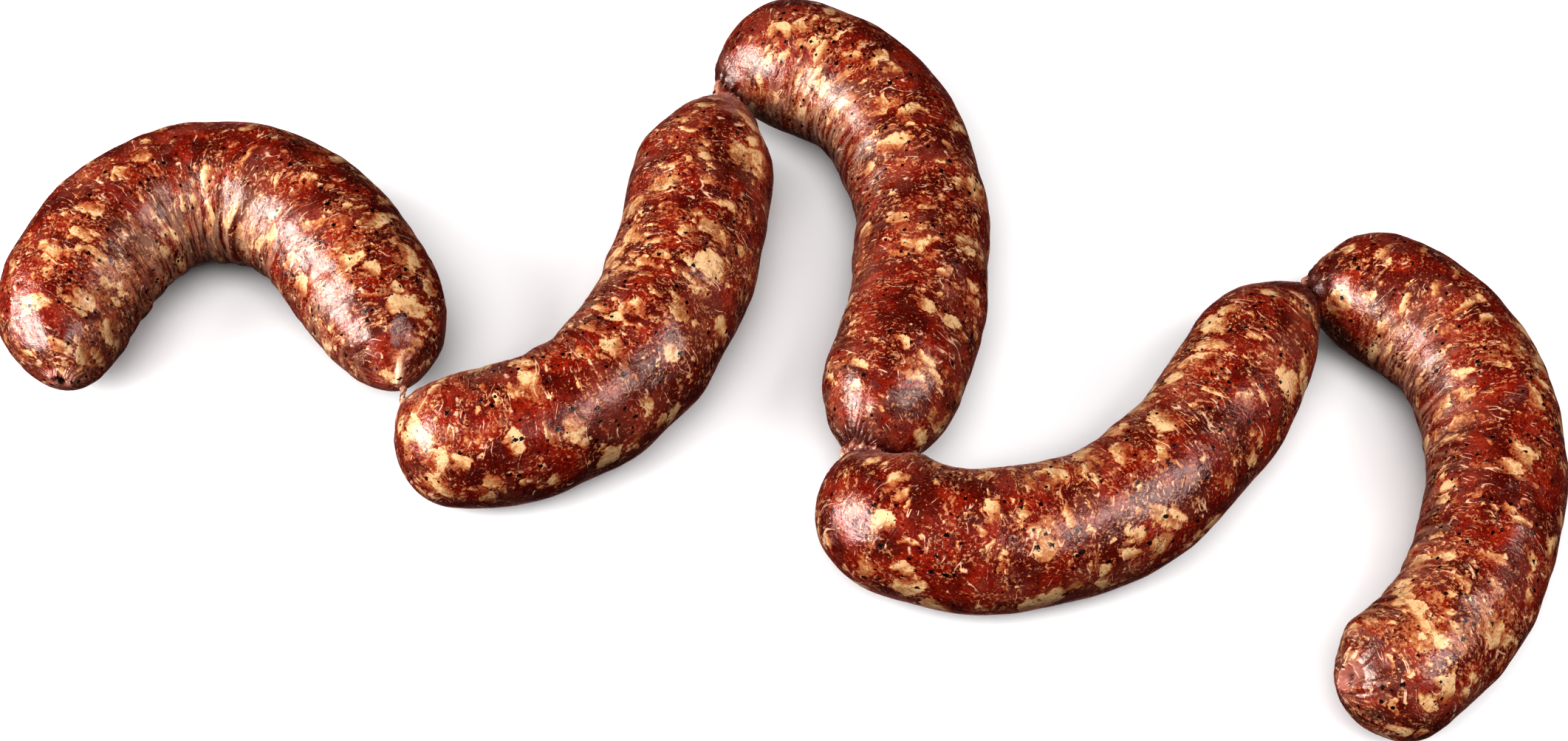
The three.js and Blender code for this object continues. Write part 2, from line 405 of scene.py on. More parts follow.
def walk_spine(link):
    """The points of a link's spine at equal steps along it."""
    middle = (np.arange(SPINE_STEPS) + 0.5) / SPINE_STEPS
    heading = np.radians(curve_through(link["headings"], middle))
    step = link["length"] / SPINE_STEPS
    x = link["start"][0] + np.concatenate([[0], np.cumsum(np.cos(heading) * step)])
    y = link["start"][1] + np.concatenate([[0], np.cumsum(np.sin(heading) * step)])
    return x + RECENTRE[0], y + RECENTRE[1]


def dome_share(end, distance):
    """The share of its full radius that a dome has at a distance from its tip."""
    inward = np.clip(distance / end["reach"], 0, 1)
    return (1 - (1 - inward) ** end["fullness"]) ** (1 / end["fullness"])


def sections_of(link, along):
    """A link's sections at distances along its spine: centres, ways to the left, and radii."""
    t = along / link["length"]
    beyond = link["length"] - along
    heading = np.radians(curve_through(link["headings"], t))
    left = np.stack([-np.sin(heading), np.cos(heading), np.zeros_like(heading)], -1)
    body = curve_through(link["radii"], t)
    spine_x, spine_y = walk_spine(link)
    steps = np.arange(SPINE_STEPS + 1)
    sideways = np.zeros_like(along)
    upwards = np.zeros_like(along)
    for end, distance in ((link["first"], along), (link["last"], beyond)):
        pull = (1 - np.clip(distance / end["reach"], 0, 1)) ** DRIFT_POWER
        sideways += end["drift"][0] * pull
        upwards += end["drift"][1] * pull
    x = np.interp(t * SPINE_STEPS, steps, spine_x)
    y = np.interp(t * SPINE_STEPS, steps, spine_y)
    centre = np.stack([x, y, body - SETTLE + upwards], -1) + left * sideways[:, None]
    radius = body * dome_share(link["first"], along) * dome_share(link["last"], beyond)
    return centre, left, radius


def ring_places(link):
    """Distances along a link for its rings, evenly spaced over its surface from tip to tip."""
    fine = np.linspace(0, link["length"], FINE_STEPS)
    radius = sections_of(link, fine)[2]
    walked = np.concatenate([[0], np.cumsum(np.hypot(np.diff(fine), np.diff(radius)))])
    even = np.linspace(0, walked[-1], LINK_RINGS + 2)[1:-1]
    return np.interp(even, walked, fine)


def swelling(link, along, angle):
    """The soft swellings of one link: a sum of slow waves along and round it."""
    draw = repeatable(link["seed"])
    total = 0
    for wave in range(SWELL_WAVES):
        spacing = SWELL_SHORTEST + (SWELL_LONGEST - SWELL_SHORTEST) * next(draw)
        crests = wave % (SWELL_CRESTS_ROUND + 1)
        phase = 2 * np.pi * next(draw)
        total = total + np.sin(2 * np.pi * along / spacing + crests * angle + phase)
    return total * SWELL_HEIGHT / math.sqrt(SWELL_WAVES)


def bend_of(link, along):
    """How sharply a link's spine bends at distances along it, in radians per millimetre."""
    t = along / link["length"]
    ahead = curve_through(link["headings"], t + BEND_SAMPLE)
    behind = curve_through(link["headings"], t - BEND_SAMPLE)
    return np.radians(ahead - behind) / (2 * BEND_SAMPLE * link["length"])


def lumps(number, rest, seed):
    """How far lumps of the filling push the casing out."""
    total = np.zeros(rest.shape[:-1])
    for k, (size, height) in enumerate(LUMPS):
        total += LUMPINESS[number] * height * noise(rest / size, seed + k)
    return total


def gathers(body, seed):
    """Fine creases across a link inside its bends, from 0 to about 1."""
    around = body.rest / (GATHER_SPACING, GATHER_RUN, GATHER_RUN)
    sway = GATHER_SWAY * noise(body.rest / GATHER_SWAY_SIZE, seed + GATHER_SWAY_SEED)
    lines = creases(around + sway[..., None], seed + GATHER_SEED, GATHER_CREASE)
    return lines * (np.clip(np.abs(body.bend) / BEND_FULL, 0, BEND_MOST) * body.inner)


def way_round(body, turn):
    """How far round a link points lie from an angle in degrees, nought there and most opposite."""
    return body.radius * (1 - np.cos(body.angle - math.radians(turn)))


def fat_places(number, body):
    """How rich in fat the filling of a link is."""
    rich = np.zeros_like(body.along)
    for place, turn, reach in FAT_PLACES[number]:
        aside = FAT_ROUND * way_round(body, turn)
        rich += np.exp(-(((body.along - place) / reach) ** 2) - (aside / reach) ** 2)
    return rich


def notches(number, body, seed):
    """How deep the notches of a link are."""
    total = np.zeros_like(body.along)
    for place, turn, depth, width in NOTCHES.get(number, ()):
        across = body.along - place + noise(body.rest / NOTCH_WANDER_SIZE, seed + NOTCH_SEED)
        aside = way_round(body, turn)
        total += depth * np.exp(-((across / width) ** 2) - (aside / NOTCH_REACH) ** 2)
    return total


def distance_from(points, place):
    """How far points lie from the one of them that is nearest to a place."""
    gap = np.linalg.norm(points - place, axis=-1)
    middle = points[np.unravel_index(gap.argmin(), gap.shape)]
    return np.linalg.norm(points - middle, axis=-1)


def sharp_fold(place, body, tip_distance, seed):
    """One sharp fold that runs from a tip along its link, from 0 to 1."""
    turn = (body.angle - math.radians(place) + np.pi) % (2 * np.pi) - np.pi
    wander = RIDGE_WANDER * noise(body.rest / RIDGE_WANDER_SIZE, seed)
    ridge = np.exp(-(((turn * body.radius + wander) / RIDGE_WIDTH) ** 2))
    return ridge * np.clip(1 - tip_distance / RIDGE_LENGTH, 0, 1) ** RIDGE_TAPER


def puckered_hole(end, body, tip_distance, seed):
    """The rim and the hole of a free end: their relief, and how strong the painted shade in the hole
    is.
    """
    depth, hole = end["hole"]
    lobe = np.cos(body.angle - math.radians(end["lobe"]))
    uneven = 1 + RIM_AT_LOBE * lobe + RIM_WANDER * noise(body.rest / RIM_WANDER_SIZE, seed)
    rim = np.exp(-(((tip_distance / hole - RIM_RADIUS * uneven) / RIM_WIDTH) ** 2))
    rise = RIM_EVEN_RISE + RIM_LOBE_RISE * lobe
    rise = rise + RIM_LUMP_RISE * noise(body.rest / RIM_LUMP_SIZE, seed + 1)
    inside = np.exp(-((tip_distance / hole) ** 2))
    return RIM_HEIGHT * rim * rise - depth * inside, inside * depth / DEEPEST_HOLE


def end_relief(end, body, distance, tip_distance, seed):
    """The casing near one tip: its relief, how gathered and creased it is, and its hole's painted
    shade.
    """
    near = np.exp(-tip_distance / PLEAT_REACH)
    around = laid_straight(distance / PLEAT_RUN, PLEATS_ROUND, body.angle)
    lines = creases(around, seed, PLEAT_CREASE)
    relief = -end["pleat"] * lines * near * PLEAT_DEPTH
    relief += end["pleat"] * noise(around * PUCKERS_PER_PLEAT, seed + 1) * near
    hollow = np.zeros_like(near)
    if end["ridge"]:
        height, place = end["ridge"]
        ridge = sharp_fold(place, body, tip_distance, seed + 2)
        relief += height * ridge
        lines = np.maximum(lines, RIDGE_MARK * ridge)
    if end["hole"]:
        extra, hollow = puckered_hole(end, body, tip_distance, seed + 3)
        relief += extra
    gathered = end["membrane"] * np.clip((near - BARE_FROM) / BARE_RANGE, 0, 1)
    return relief, gathered, PLEAT_MARK * end["pleat"] * lines * near, hollow


def link_body(link, number):
    """A link in the solid's own form: a grid of points, and what else is known at each."""
    along = ring_places(link)
    centre, left, radius = sections_of(link, along)
    radius = radius[:, None]
    angle = (np.arange(LINK_SIDES) + 0.5) / LINK_SIDES * 2 * np.pi
    angle, along = np.meshgrid(angle, along)
    beyond = link["length"] - along
    domes = np.minimum(dome_share(link["first"], along), dome_share(link["last"], beyond))
    free = np.clip(UNDERSIDE_FADE * (1 + np.sin(angle)), 0, 1)
    bend = bend_of(link, along)
    inner = np.maximum(0, np.sign(bend) * np.cos(angle)) ** 2
    fold = FOLD_HEIGHTS[number] * np.abs(bend) * np.cos(2 * np.pi * along / FOLD_SPACING)
    out = radius + (swelling(link, along, angle) + fold * inner) * domes * free
    points = centre[:, None] + left[:, None] * (out * np.cos(angle))[..., None]
    points[..., 2] = centre[:, None, 2] + out * np.sin(angle)
    return SimpleNamespace(
        points=points,
        along=along,
        beyond=beyond,
        angle=angle,
        radius=radius,
        bend=bend,
        inner=inner,
        free=free,
        rest=laid_straight(along, radius, angle) + (0, PATTERN_SPACING * number, 0),
    )


def link_surface(link, ends, number):
    """A link's surface: its grid of points, tips, places laid straight, and marks."""
    body = link_body(link, number)
    tips = sections_of(link, np.array([0.0, link["length"]]))[0]
    seed = SEEDS_PER_LINK * number
    creased = gathers(body, seed)
    relief = lumps(number, body.rest, seed) - GATHER_DEPTHS[number] * creased
    gathered = np.zeros_like(relief)
    hollow = np.zeros_like(relief)
    for end, tip, distance, end_seed in zip(ends, tips, (body.along, body.beyond), END_SEEDS):
        tip_distance = distance_from(body.points, tip + end["offset"])
        extra, bare, lines, deep = end_relief(end, body, distance, tip_distance, seed + end_seed)
        relief += extra
        gathered = np.maximum(gathered, bare)
        creased = np.maximum(creased, lines)
        hollow = np.maximum(hollow, deep)
    relief -= notches(number, body, seed)
    points = body.points + grid_normals(body.points) * (relief * body.free)[..., None]
    marks = (gathered, creased, hollow, fat_places(number, body))
    return points, tips, body.rest, dict(zip(MARKS, marks))


def flare_share(u):
    """The width of a twist above its waist, at a share u of its length: 1 where it is widest."""
    outward = np.abs(2 * u - 1)
    widest = FLARE_POWER / (FLARE_POWER + 1)
    return (outward / widest) ** FLARE_POWER * ((1 - outward) / (1 - widest))


def path_through(points, count):
    """Evenly spaced points of a smooth curve through a few points, and its direction there."""
    points = np.array(points) + (*RECENTRE, 0)
    fine = np.linspace(0, 1, PATH_STEPS)
    curve = np.stack([curve_through(points[:, k], fine) for k in range(3)], -1)
    walked = np.concatenate([[0], np.cumsum(np.linalg.norm(np.diff(curve, axis=0), axis=1))])
    even = np.linspace(0, walked[-1], count)
    curve = np.stack([np.interp(even, walked, curve[:, k]) for k in range(3)], -1)
    way = np.gradient(curve, axis=0)
    return curve, way / np.linalg.norm(way, axis=1, keepdims=True)


def twist_surface(twist, number):
    """A twist's surface, pleated and wound: its points, tips, places laid straight, and marks."""
    centre, way = path_through(twist["path"], TWIST_RINGS + 2)
    share = np.linspace(0, 1, TWIST_RINGS + 2)[1:-1]
    tips = centre[[0, -1]]
    centre, way = centre[1:-1], way[1:-1]
    side = np.cross(way, (0, 0, 1))
    side /= np.linalg.norm(side, axis=1, keepdims=True)
    up = np.cross(side, way)
    angle = np.arange(TWIST_SIDES) / TWIST_SIDES * 2 * np.pi
    angle, share = np.meshgrid(angle, share)
    width = twist["waist"] + (twist["flare"] - twist["waist"]) * flare_share(share)
    wound = angle + twist["turns"] * 2 * np.pi * share
    reach = twist["pleats"] / (2 * np.pi)
    around = laid_straight(share * PLEAT_CHANGES + PLEAT_CHANGES_APART * number, reach, wound)
    lines = creases(around, TWIST_SEED + number, WOUND_CREASE)
    folds = noise(around * WOUND_FOLDS, TWIST_FOLD_SEED + number)
    out = width * (1 + twist["ruffle"] * (WOUND_FOLD_HEIGHT * folds - WOUND_CREASE_DEPTH * lines))
    points = centre[:, None] + side[:, None] * (out * np.cos(angle))[..., None]
    points = points + up[:, None] * (out * np.sin(angle))[..., None]
    length = np.linalg.norm(np.diff(centre, axis=0), axis=1).sum()
    place = PATTERN_SPACING * (len(LINKS) + 1 + number)
    rest = laid_straight(share * length, width, angle) + (0, place, 0)
    nowhere = np.zeros_like(share)
    marks = (nowhere + twist["membrane"], 1 - lines, nowhere, nowhere)
    return points, tips, rest, dict(zip(MARKS, marks))


def grid_faces(rings, sides):
    """Four-sided faces of a closed grid, as corner numbers, and three-sided ones at its tips."""
    ring, side = np.meshgrid(np.arange(rings - 1), np.arange(sides), indexing="ij")
    here = ring * sides
    after = (side + 1) % sides
    quads = np.stack([here + side, here + after, here + sides + after, here + sides + side], -1)
    side = np.arange(sides)
    after = (side + 1) % sides
    head = rings * sides
    tail = head + 1
    last = (rings - 1) * sides
    first_fan = np.stack([np.full(sides, head), after, side], -1)
    last_fan = np.stack([np.full(sides, tail), last + side, last + after], -1)
    return quads.reshape(-1, 4), np.concatenate([first_fan, last_fan])


def tree_of(points, tips):
    """A search tree over a closed grid of points."""
    quads, fans = grid_faces(*points.shape[:2])
    corners = np.concatenate([points.reshape(-1, 3), tips])
    faces = quads.tolist() + fans.tolist()
    return BVHTree.FromPolygons(corners.tolist(), faces)


def shared_fillet(points, normals, other, reach):
    """How far points bulge out to join another surface in a fillet, and how near it they are."""
    bulge = np.zeros(len(points))
    near = np.zeros(len(points))
    for i, (point, normal) in enumerate(zip(points, normals)):
        place, face, _, distance = other.find_nearest(Vector(point), reach)
        if place is None:
            continue
        gap = float((Vector(point) - place).dot(face))
        out = 0.0
        for _ in range(FILLET_ROUNDS):
            out = reach / 4 * max(0.0, 1 - abs(out - gap) / reach) ** 2
        bulge[i] = out
        near[i] = 1 - distance / reach
    return bulge, near


def widen_twist(surface, twist, link_trees):
    """A twist's surface, widened in a fillet into each link that it holds."""
    points, *others = surface
    flat = points.reshape(-1, 3)
    normals = grid_normals(points).reshape(-1, 3)
    total = np.zeros(len(flat))
    for tree in link_trees:
        total = np.maximum(total, shared_fillet(flat, normals, tree, twist["fillet"])[0])
    return ((flat + normals * total[:, None]).reshape(points.shape), *others)


def widen_link(surface, joints):
    """A link's surface, raised in a fillet round each twist that holds it, bare there, with painted
    shade.
    """
    points, tips, rest, marks = surface
    points = points.copy()
    normals = grid_normals(points)
    for tip, joint in zip(tips, joints):
        if joint is None:
            continue
        twist, tree = joint
        chosen = np.linalg.norm(points - tip, axis=-1) < JOINT_REACH
        bulge, near = shared_fillet(points[chosen], normals[chosen], tree, twist["fillet"])
        points[chosen] += normals[chosen] * bulge[:, None]
        for label, share in (("gathered", twist["membrane"] * JOINT_BARE), ("hollow", twist["shade"])):
            marks[label][chosen] = np.maximum(marks[label][chosen], near * share)
    return points, tips, rest, marks


def join_in_fillets(links, twists):
    """Widens each link and the twists that hold it towards each other where they meet."""
    link_trees = [tree_of(points, tips) for points, tips, *_ in links]
    twist_trees = [tree_of(points, tips) for points, tips, *_ in twists]
    joints = [None, *zip(TWISTS, twist_trees), None]
    wide_links = [widen_link(link, joints[i : i + 2]) for i, link in enumerate(links)]
    wide_twists = [
        widen_twist(surface, TWISTS[i], link_trees[i : i + 2]) for i, surface in enumerate(twists)
    ]
    return wide_links, wide_twists


def strip_places(quads, fans, rings, sides):
    """Texture places of every face corner on one square strip, for what reads the surface flat."""
    ring, side = np.divmod(quads, sides)
    side = side.astype(float)
    side[:, 1:3] = side[:, [0, 3]] + 1
    quad_places = np.stack([side / sides, (ring + 1) / (rings + 1)], -1)
    count = len(fans) // 2
    step = np.arange(count)
    height = np.tile([0, 1, 1], (count, 1)) / (rings + 1)
    low = np.stack([np.stack([step + 0.5, step + 1, step], -1) / sides, height], -1)
    high = np.stack([np.stack([step + 0.5, step, step + 1], -1) / sides, 1 - height], -1)
    return np.concatenate([quad_places.reshape(-1, 2), low.reshape(-1, 2), high.reshape(-1, 2)])


def make_piece(name, surface, material):
    """A closed mesh object of a grid, with the values that its material reads."""
    points, tips, rest, marks = surface
    rings, sides = points.shape[:2]
    points = np.concatenate([points.reshape(-1, 3), tips])
    points[:, 2] = np.maximum(points[:, 2], 0)
    quads, fans = grid_faces(rings, sides)
    mesh = bpy.data.meshes.new(name)
    mesh.from_pydata((points * MM).tolist(), [], quads.tolist() + fans.tolist())
    mesh.polygons.foreach_set("use_smooth", np.ones(len(mesh.polygons), bool))
    ends = np.stack([rest[0].mean(0), rest[-1].mean(0)])
    places = np.concatenate([rest.reshape(-1, 3), ends])
    mesh.attributes.new("rest", "FLOAT_VECTOR", "POINT").data.foreach_set("vector", places.ravel())
    for label in MARKS:
        values = marks[label]
        values = np.concatenate([values.ravel(), [values[0].mean(), values[-1].mean()]])
        mesh.attributes.new(label, "FLOAT", "POINT").data.foreach_set("value", values)
    strip = mesh.uv_layers.new(name="OFBake")
    strip.data.foreach_set("uv", strip_places(quads, fans, rings, sides).ravel())
    mesh.materials.append(material)
    mesh.update()
    piece = bpy.data.objects.new(name, mesh)
    bpy.context.scene.collection.objects.link(piece)
    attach(piece, "root")
    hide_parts("sausage_string")


class Shader:
    """A material under construction."""

    def __init__(self, name):
        self.material = bpy.data.materials.new(name)
        self.material.use_nodes = True
        self.tree = self.material.node_tree
        self.tree.nodes.clear()

    def add(self, kind, inputs, **options):
        """Makes a node, sets its options, and sets or links its inputs."""
        node = self.tree.nodes.new("ShaderNode" + kind)
        for option, value in options.items():
            setattr(node, option, value)
        for socket, value in inputs.items():
            if isinstance(value, bpy.types.NodeSocket):
                self.tree.links.new(value, node.inputs[socket])
            else:
                node.inputs[socket].default_value = value
        return node

    def attribute(self, name):
        """A value or a place that the mesh carries."""
        return self.add("Attribute", {}, attribute_name=name).outputs

    def math(self, operation, a, b=0.0):
        """A number worked out from two."""
        return self.add("Math", {0: a, 1: b}, operation=operation).outputs[0]

    def band(self, value, low, high, least=0.0, most=1.0):
        """A smooth step from least to most as a value goes from low to high."""
        inputs = {"Value": value, "From Min": low, "From Max": high, "To Min": least, "To Max": most}
        return self.add("MapRange", inputs, interpolation_type="SMOOTHSTEP").outputs[0]

    def mix(self, share, a, b):
        """A colour between two."""
        return self.add("Mix", {0: share, 6: a, 7: b}, data_type="RGBA").outputs[2]

    def noise(self, place, size, detail, roughness):
        """Noise with bumps of about a size in millimetres, as a number and as a colour."""
        inputs = {"Vector": place, "Scale": 1 / size, "Detail": detail, "Roughness": roughness}
        return self.add("TexNoise", inputs).outputs

    def line(self, value, middle, band):
        """Thin lines where a noise passes a middle value."""
        return self.band(self.math("ABSOLUTE", self.math("SUBTRACT", value, middle)), *band)

    def vector(self, operation, a, b):
        """A vector worked out from two, or their dot product."""
        outputs = self.add("VectorMath", {0: a, 1: b}, operation=operation).outputs
        return outputs[1 if operation == "DOT_PRODUCT" else 0]

    def moved(self, place, amount, by):
        """A place pushed about by a noise's colour, by up to half an amount either way."""
        centred = self.vector("SUBTRACT", by, (0.5, 0.5, 0.5))
        inputs = {0: centred, 1: (amount, amount, amount), 2: place}
        return self.add("VectorMath", inputs, operation="MULTIPLY_ADD").outputs[0]

    def blobs(self, place, size, share, small, large, soft):
        """Scattered uneven blobs: how deep a place is in one from 0 to 1, and how far across."""
        cells = self.add("TexVoronoi", {"Vector": place, "Scale": 1 / size}, feature="F1").outputs
        drawn = self.add("SeparateColor", {"Color": cells["Color"]}).outputs
        chosen = self.math("LESS_THAN", drawn[0], share)
        edge = self.band(drawn[1], 0.0, 1.0, small, large)
        inside = self.math("SUBTRACT", edge, cells["Distance"])
        depth = self.band(inside, -soft, soft)
        offset = self.vector("SUBTRACT", place, cells["Position"])
        way = self.vector("SUBTRACT", cells["Color"], (0.5, 0.5, 0.5))
        across = self.math("DIVIDE", self.vector("DOT_PRODUCT", offset, way), size)
        return self.math("MULTIPLY", chosen, depth), across

    def bump(self, strength, height):
        """Normals tilted by a height."""
        inputs = {"Strength": strength, "Distance": BUMP_DEPTH, "Height": height}
        return self.add("Bump", inputs).outputs[0]


def colour(code):
    """A colour from its six-digit code as seen on a screen."""
    parts = [int(code[k : k + 2], 16) / 255 for k in (0, 2, 4)]
    linear = [p / 12.92 if p <= 0.04045 else ((p + 0.055) / 1.055) ** 2.4 for p in parts]
    return (*linear, 1.0)


# The colours are milder than in the photo, because the view's look strengthens them.
DEEP_RED = colour("6a1508")
WARM_RED = colour("842812")
# Maroon for the meat's dark patches, grain and cracks, and also for painted shade in hollows.
MAROON = colour("3a0b05")
RUST = colour("8c4529")
TAN_FAT = colour("a97b54")
CREAM_FAT = colour("ccad86")
# Pale mauve patches, partly cloudy casing and partly painted sheen.
VEIL_AND_PAINTED_SHEEN = colour("8a4a3e")
CRUMB = colour("b08260")
FIBRE = colour("d8b99f")
MEMBRANE = colour("b07a70")
# Black for the pepper specks, and also for painted shade deep in hollows.
PEPPER_AND_PAINTED_SHADE = colour("060302")
SHEEN = colour("ffb8b8")

# The patterns in the filling: size in millimetres, how many finer ones are added, and how rough
# those make it.
PATCH = (9.0, 1.0, 0.5)
LUMP = (3.0, 2.0, 0.6)
GRAIN = (0.7, 2.0, 0.7)
ZONE = (8.5, 2.0, 0.5)
TONE = (5.5, 3.0, 0.6)
FILM_AND_SHEEN_PATTERN = (14.0, 3.0, 0.6)
CRUMB_PATTERN = (1.0, 1.0, 0.5)
STRAND = (5.0, 1.0, 0.5)
GLINT = (1.2, 0.0, 0.5)
SPECK_EDGE = (0.45, 1.0, 0.5)

# Patterns are slanted and drawn out across a link, and then pushed about: bent over patches, torn
# over lumps and frayed over the grain. Strands are drawn out further.
SLANT = 0.4
DRAWN_OUT = (1.35, 0.75, 0.95)
STRANDS_DRAWN_OUT = (1.4, 0.4, 0.4)
BENT_BY = 6.0
TORN_BY = 3.6
FRAYED_BY = 1.2
SPECK_FRAYED_BY = 0.9

# How each layer of the filling answers to its pattern: the pattern's values where the layer starts
# and ends, and how strong it is at each, where that isn't 0 and 1.
WARM_MEAT = (0.42, 0.66)
DARK_PATCHES = (0.42, 0.62, 0.0, 0.7)
DARK_GRAIN = (0.47, 0.36, 0.0, 0.7)
FILM_AND_SHEEN = (0.5, 0.68, 0.0, 0.4)
CRUMBLY_ZONE = (0.38, 0.58)
CRUMBS_THERE = (0.0, 1.0, -0.11, 0.05)
CRUMBS = (0.58, 0.72, 0.0, 0.8)
FINE_CRUMBS = (0.62, 0.68, 0.0, 0.8)
SMEARED_FAT = (0.55, 0.75, 0.0, 0.45)
PIECE_SHADING = (-0.12, 0.1, 0.35, 1.05)
PIECES_BY_ZONE = (0.34, 0.5, 0.15, 1.0)
FAT_GRAIN = (0.3, 0.7, -0.14, 0.14)
FAT_LUMPS = (0.35, 0.65, -0.2, 0.12)
RUSTY_FAT = (0.2, 0.48)
THIN_FAT = (0.34, 0.74)
THICK_FAT = (0.66, 1.05)
CRACK_LINE = (0.003, 0.013, 1.0, 0.0)
CRACKED_PARTS = (0.42, 0.54)
FIBRE_LINE = (0.006, 0.018, 1.0, 0.0)
FIBROUS_PARTS = (0.5, 0.62, 0.0, 0.75)
STREAKS = (0.35, 0.65, -0.2, 0.2)
BARE_CASING = (0.15, 0.95)
WHITE_CASING = (0.9, 1.0, 0.0, 0.7)
# Painted shade in hollows: maroon where it is light, black where it is deepest.
SHADED_HOLLOW = (0.1, 0.6, 0.0, 0.85)
BLACK_PAINTED_SHADE = (0.5, 0.9, 0.0, 0.9)

# The noise values that cracks and fibres follow, and how strong cracks and creases look.
CRACKS_AT = 0.46
FIBRES_AT = 0.5
CRACK_STRENGTH = 0.6
CREASE_STRENGTH = 0.4

# How much more fat there is where a link is rich: in its zones, and in the share of its pieces.
RICH_ZONE = 0.12
RICH_PIECES = 0.4

# Pieces of fat: size, share of the places that hold one, least and most radius in sizes, and how
# soft the edge is.
FAT = (
    (9.8, 0.58, 0.24, 0.52, 0.06),
    (6.0, 0.5, 0.24, 0.5, 0.08),
    (3.2, 0.3, 0.2, 0.42, 0.12),
    (1.7, 0.25, 0.16, 0.36, 0.12),
)
LINK_FAT_SHARE = 1.0
TWIST_FAT_SHARE = 0.4

# Specks of pepper: spacing, share of the places that hold one, and least and most radius.
SPECKS = ((2.2, 0.6, 0.11, 0.26), (1.0, 0.4, 0.1, 0.2), (0.5, 0.12, 0.14, 0.24))
SPECK_SOFTNESS = 0.03

# The moist casing: its bumps, and its gloss, which is rougher where the lumps' pattern is high.
BUMP_DEPTH = 0.0002
BUMP_STRENGTH = 0.6
LUMP_HEIGHT = 2.5
CRACK_DEPTH = 0.6
GLINT_STRENGTH = 1.0
GLINT_GRAIN = 0.4
ROUGHNESS = (0.3, 0.7, 0.2, 0.36)
SPECULAR = 0.7
COAT = 0.3
COAT_ROUGHNESS = 0.12
SHEEN_WEIGHT = 0.3
SHEEN_ROUGHNESS = 0.2


def shared_patterns(m):
    """The marks on the mesh, and the places and noises that several layers read."""
    marks = {label: m.attribute(label)["Fac"] for label in MARKS}
    rest = m.attribute("rest")["Vector"]
    patch = m.noise(rest, *PATCH)
    lump = m.noise(rest, *LUMP)
    grain = m.noise(rest, *GRAIN)
    turned = {"Vector": rest, "Rotation": (0, 0, SLANT), "Scale": DRAWN_OUT}
    bent = m.moved(m.add("Mapping", turned).outputs[0], BENT_BY, patch["Color"])
    ragged = m.moved(m.moved(bent, TORN_BY, lump["Color"]), FRAYED_BY, grain["Color"])
    strands = m.add("Mapping", {"Vector": bent, "Scale": STRANDS_DRAWN_OUT}).outputs[0]
    return SimpleNamespace(
        rest=rest,
        bent=bent,
        ragged=ragged,
        patch=patch["Fac"],
        lump=lump["Fac"],
        grain=grain["Fac"],
        strand=m.noise(strands, *STRAND)["Fac"],
        **marks,
    )


def lean_meat(m, p, tone):
    """Red meat, darker in patches and in its grain, with pale patches here and there, partly cloudy
    casing and partly painted sheen.
    """
    look = m.mix(m.band(tone, *WARM_MEAT), DEEP_RED, WARM_RED)
    look = m.mix(m.band(p.patch, *DARK_PATCHES), look, MAROON)
    look = m.mix(m.band(p.grain, *DARK_GRAIN), look, MAROON)
    film_and_sheen = m.noise(p.rest, *FILM_AND_SHEEN_PATTERN)["Fac"]
    return m.mix(m.band(film_and_sheen, *FILM_AND_SHEEN), look, VEIL_AND_PAINTED_SHEEN)


def add_crumbs(m, look, p, zone):
    """Crumbs of fat in the meat, most of them where the zone is fatty."""
    crumb = m.noise(p.ragged, *CRUMB_PATTERN)["Fac"]
    crumb = m.math("ADD", crumb, m.band(m.band(zone, *CRUMBLY_ZONE), *CRUMBS_THERE))
    look = m.mix(m.band(crumb, *CRUMBS), look, CRUMB)
    return m.mix(m.band(p.grain, *FINE_CRUMBS), look, CRUMB)


def fat_thickness(m, p, zone, fat_share):
    """How thick the fat is under the casing, from pieces of several sizes, thick on one side."""
    more = m.math("MULTIPLY", p.rich, RICH_PIECES)
    fat = m.band(zone, *SMEARED_FAT)
    for size, share, small, large, soft in FAT:
        held = m.math("ADD", more, share * fat_share)
        there, across = m.blobs(p.ragged, size, held, small, large, soft)
        piece = m.math("MULTIPLY", there, m.band(across, *PIECE_SHADING))
        fat = m.math("MAXIMUM", fat, piece)
    fat = m.math("MULTIPLY", fat, m.band(zone, *PIECES_BY_ZONE))
    fat = m.math("ADD", fat, m.band(p.grain, *FAT_GRAIN))
    return m.math("ADD", fat, m.band(p.lump, *FAT_LUMPS))


def add_fat(m, look, thickness):
    """Fat over the meat: rusty where it is thinnest, then tan, and cream where it is thick."""
    look = m.mix(m.band(thickness, *RUSTY_FAT), look, RUST)
    look = m.mix(m.band(thickness, *THIN_FAT), look, TAN_FAT)
    return m.mix(m.band(thickness, *THICK_FAT), look, CREAM_FAT)


def add_fibres(m, look, p):
    """Pale fibres, and the pale creases and pleats of the casing."""
    fibre = m.math("MULTIPLY", m.line(p.strand, FIBRES_AT, FIBRE_LINE), m.band(p.lump, *FIBROUS_PARTS))
    look = m.mix(fibre, look, FIBRE)
    return m.mix(m.math("MULTIPLY", p.creased, CREASE_STRENGTH), look, FIBRE)


def add_bare_casing(m, look, p):
    """Bare casing, streaked, where it is gathered at the ends and the twists."""
    bare = m.math("ADD", p.gathered, m.band(p.strand, *STREAKS))
    look = m.mix(m.band(bare, *BARE_CASING), look, MEMBRANE)
    return m.mix(m.band(p.gathered, *WHITE_CASING), look, FIBRE)


def add_specks(m, look, p):
    """Black pepper specks of uneven shape over a colour."""
    place = m.moved(p.rest, SPECK_FRAYED_BY, m.noise(p.rest, *SPECK_EDGE)["Color"])
    for size, share, small, large in SPECKS:
        there = m.blobs(place, size, share, small, large, SPECK_SOFTNESS)[0]
        look = m.mix(there, look, PEPPER_AND_PAINTED_SHADE)
    return look


def add_painted_shade(m, look, p):
    """Painted shade in hollows: a free end's hole, and the creases where links and twists meet."""
    look = m.mix(m.band(p.hollow, *SHADED_HOLLOW), look, MAROON)
    return m.mix(m.band(p.hollow, *BLACK_PAINTED_SHADE), look, PEPPER_AND_PAINTED_SHADE)


